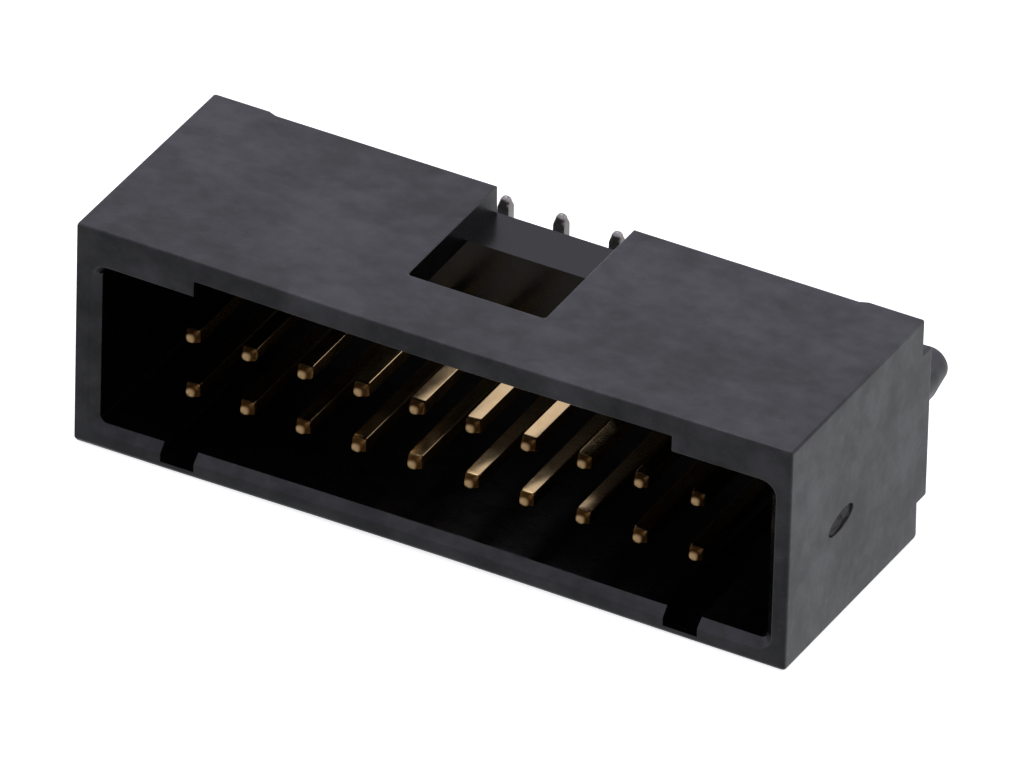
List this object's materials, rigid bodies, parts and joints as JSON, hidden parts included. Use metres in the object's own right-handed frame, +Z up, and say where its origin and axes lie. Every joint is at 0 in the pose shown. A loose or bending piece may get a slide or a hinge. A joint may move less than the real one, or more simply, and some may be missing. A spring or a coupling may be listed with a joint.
{
  "type": "shrouded box header",
  "caption": "Surface-mount shrouded box header for flat ribbon cable, with a latch window, keyways, gold contacts and board pegs.",
  "frame": {"origin": "middle of the whole part's outline, at the level of the long side wall that it lies on", "axes": "+X along the contact rows, +Y from the mating mouth to the board side, +Z up, away from the resting wall and towards the window wall"},
  "size_m": [0.0254, 0.0122, 0.0082],
  "materials": {
    "housing": "matte glass-filled moulding, faintly mottled",
    "contact": "gold-plated post and tin-plated foot"
  },
  "bodies": {
    "root": {"housing": "housing", "contact_01": "contact", "contact_02": "contact", "contact_03": "contact", "contact_04": "contact", "contact_05": "contact", "contact_06": "contact", "contact_07": "contact", "contact_08": "contact", "contact_09": "contact", "contact_10": "contact", "contact_11": "contact", "contact_12": "contact", "contact_13": "contact", "contact_14": "contact", "contact_15": "contact", "contact_16": "contact", "contact_17": "contact", "contact_18": "contact", "contact_19": "contact", "contact_20": "contact"}
  },
  "joints": []
}
